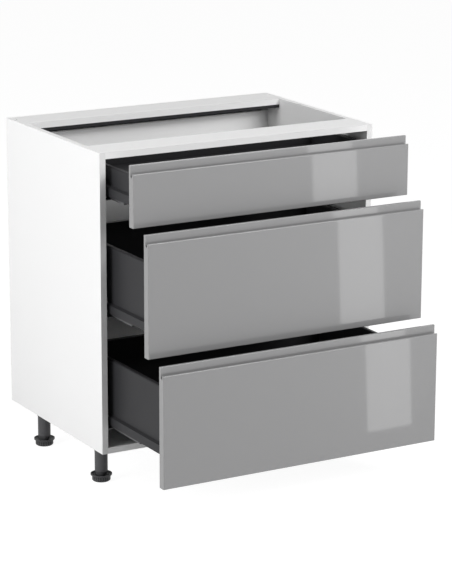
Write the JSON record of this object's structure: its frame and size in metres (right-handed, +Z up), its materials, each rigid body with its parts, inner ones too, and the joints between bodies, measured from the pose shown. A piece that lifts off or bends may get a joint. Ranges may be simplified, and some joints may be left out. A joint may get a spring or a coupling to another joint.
{
  "type": "base cabinet with drawers",
  "caption": "Kitchen base cabinet on levelling legs: white board carcass, grey gloss drawer fronts with a milled pull, graphite metal drawer boxes on full-extension runners.",
  "frame": {"origin": "on the floor under the middle of the whole cabinet, with its drawers standing open as stored", "axes": "+X to the right seen from the front, +Y to the back (the drawers open towards -Y), +Z up"},
  "size_m": [0.8, 0.869, 0.88],
  "materials": {
    "white_board": "white melamine faced board, fine matt pearl",
    "gloss_front": "grey high-gloss lacquer on fibreboard",
    "graphite_steel": "graphite powder coat, satin",
    "graphite_board": "graphite melamine faced board",
    "runner_steel": "zinc plated",
    "leg_plastic": "moulded, dark grey",
    "damper_plastic": "moulded, mid grey",
    "beech": "plain beech",
    "roller_nylon": "natural nylon"
  },
  "bodies": {
    "carcass": {"back_panel": "white_board", "bottom_panel": "white_board", "cabinet_runner_bottom_left": "runner_steel", "cabinet_runner_bottom_right": "runner_steel", "cabinet_runner_middle_left": "runner_steel", "cabinet_runner_middle_right": "runner_steel", "cabinet_runner_top_left": "runner_steel", "cabinet_runner_top_right": "runner_steel", "dowels": "beech", "front_rail": "white_board", "leg_sockets": "leg_plastic", "leg_tube_front_left": "leg_plastic", "leg_tube_front_right": "leg_plastic", "leg_tube_rear_left": "leg_plastic", "leg_tube_rear_right": "leg_plastic", "rear_rail": "white_board", "rear_traverse": "graphite_steel", "side_left": "white_board", "side_right": "white_board", "soft_close_units": "damper_plastic"},
    "top_drawer": {"drawer_base_top": "graphite_board", "drawer_runner_top_left": "runner_steel", "drawer_runner_top_right": "runner_steel", "drawer_side_top_left": "graphite_steel", "drawer_side_top_right": "graphite_steel", "front_brackets_top": "graphite_steel", "front_top": "gloss_front", "rear_brackets_top": "graphite_steel", "rear_wall_top": "graphite_board"},
    "top_middle_members": {"middle_runner_top_left": "runner_steel", "middle_runner_top_right": "runner_steel", "runner_rollers_top": "roller_nylon"},
    "middle_drawer": {"drawer_base_middle": "graphite_board", "drawer_runner_middle_left": "runner_steel", "drawer_runner_middle_right": "runner_steel", "drawer_side_middle_left": "graphite_steel", "drawer_side_middle_right": "graphite_steel", "front_brackets_middle": "graphite_steel", "front_middle": "gloss_front", "rear_brackets_middle": "graphite_steel", "rear_wall_middle": "graphite_board"},
    "middle_middle_members": {"middle_runner_middle_left": "runner_steel", "middle_runner_middle_right": "runner_steel", "runner_rollers_middle": "roller_nylon"},
    "bottom_drawer": {"drawer_base_bottom": "graphite_board", "drawer_runner_bottom_left": "runner_steel", "drawer_runner_bottom_right": "runner_steel", "drawer_side_bottom_left": "graphite_steel", "drawer_side_bottom_right": "graphite_steel", "front_bottom": "gloss_front", "front_brackets_bottom": "graphite_steel", "rear_brackets_bottom": "graphite_steel", "rear_wall_bottom": "graphite_board"},
    "bottom_middle_members": {"middle_runner_bottom_left": "runner_steel", "middle_runner_bottom_right": "runner_steel", "runner_rollers_bottom": "roller_nylon"},
    "foot_front_left": {"foot_front_left": "leg_plastic"},
    "foot_front_right": {"foot_front_right": "leg_plastic"},
    "foot_rear_left": {"foot_rear_left": "leg_plastic"},
    "foot_rear_right": {"foot_rear_right": "leg_plastic"}
  },
  "joints": [
    {"name": "top_drawer_slide", "type": "slide", "parent": "carcass", "child": "top_drawer", "axis": [0, -1, 0], "range_m": [-0.15, 0.23]},
    {"name": "middle_drawer_slide", "type": "slide", "parent": "carcass", "child": "middle_drawer", "axis": [0, -1, 0], "range_m": [-0.225, 0.255]},
    {"name": "bottom_drawer_slide", "type": "slide", "parent": "carcass", "child": "bottom_drawer", "axis": [0, -1, 0], "range_m": [-0.3, 0.18]},
    {"name": "top_runner_slide", "type": "slide", "parent": "carcass", "child": "top_middle_members", "axis": [0, -1, 0], "range_m": [-0.075, 0.115]},
    {"name": "middle_runner_slide", "type": "slide", "parent": "carcass", "child": "middle_middle_members", "axis": [0, -1, 0], "range_m": [-0.1125, 0.1275]},
    {"name": "bottom_runner_slide", "type": "slide", "parent": "carcass", "child": "bottom_middle_members", "axis": [0, -1, 0], "range_m": [-0.15, 0.09]},
    {"name": "foot_front_left_screw", "type": "slide", "parent": "carcass", "child": "foot_front_left", "axis": [0, 0, -1], "range_m": [0, 0.025]},
    {"name": "foot_front_right_screw", "type": "slide", "parent": "carcass", "child": "foot_front_right", "axis": [0, 0, -1], "range_m": [0, 0.025]},
    {"name": "foot_rear_left_screw", "type": "slide", "parent": "carcass", "child": "foot_rear_left", "axis": [0, 0, -1], "range_m": [0, 0.025]},
    {"name": "foot_rear_right_screw", "type": "slide", "parent": "carcass", "child": "foot_rear_right", "axis": [0, 0, -1], "range_m": [0, 0.025]}
  ],
  "couplings": [
    {"joint": "top_runner_slide", "follows": "top_drawer_slide", "ratio": 0.5},
    {"joint": "middle_runner_slide", "follows": "middle_drawer_slide", "ratio": 0.5},
    {"joint": "bottom_runner_slide", "follows": "bottom_drawer_slide", "ratio": 0.5}
  ]
}
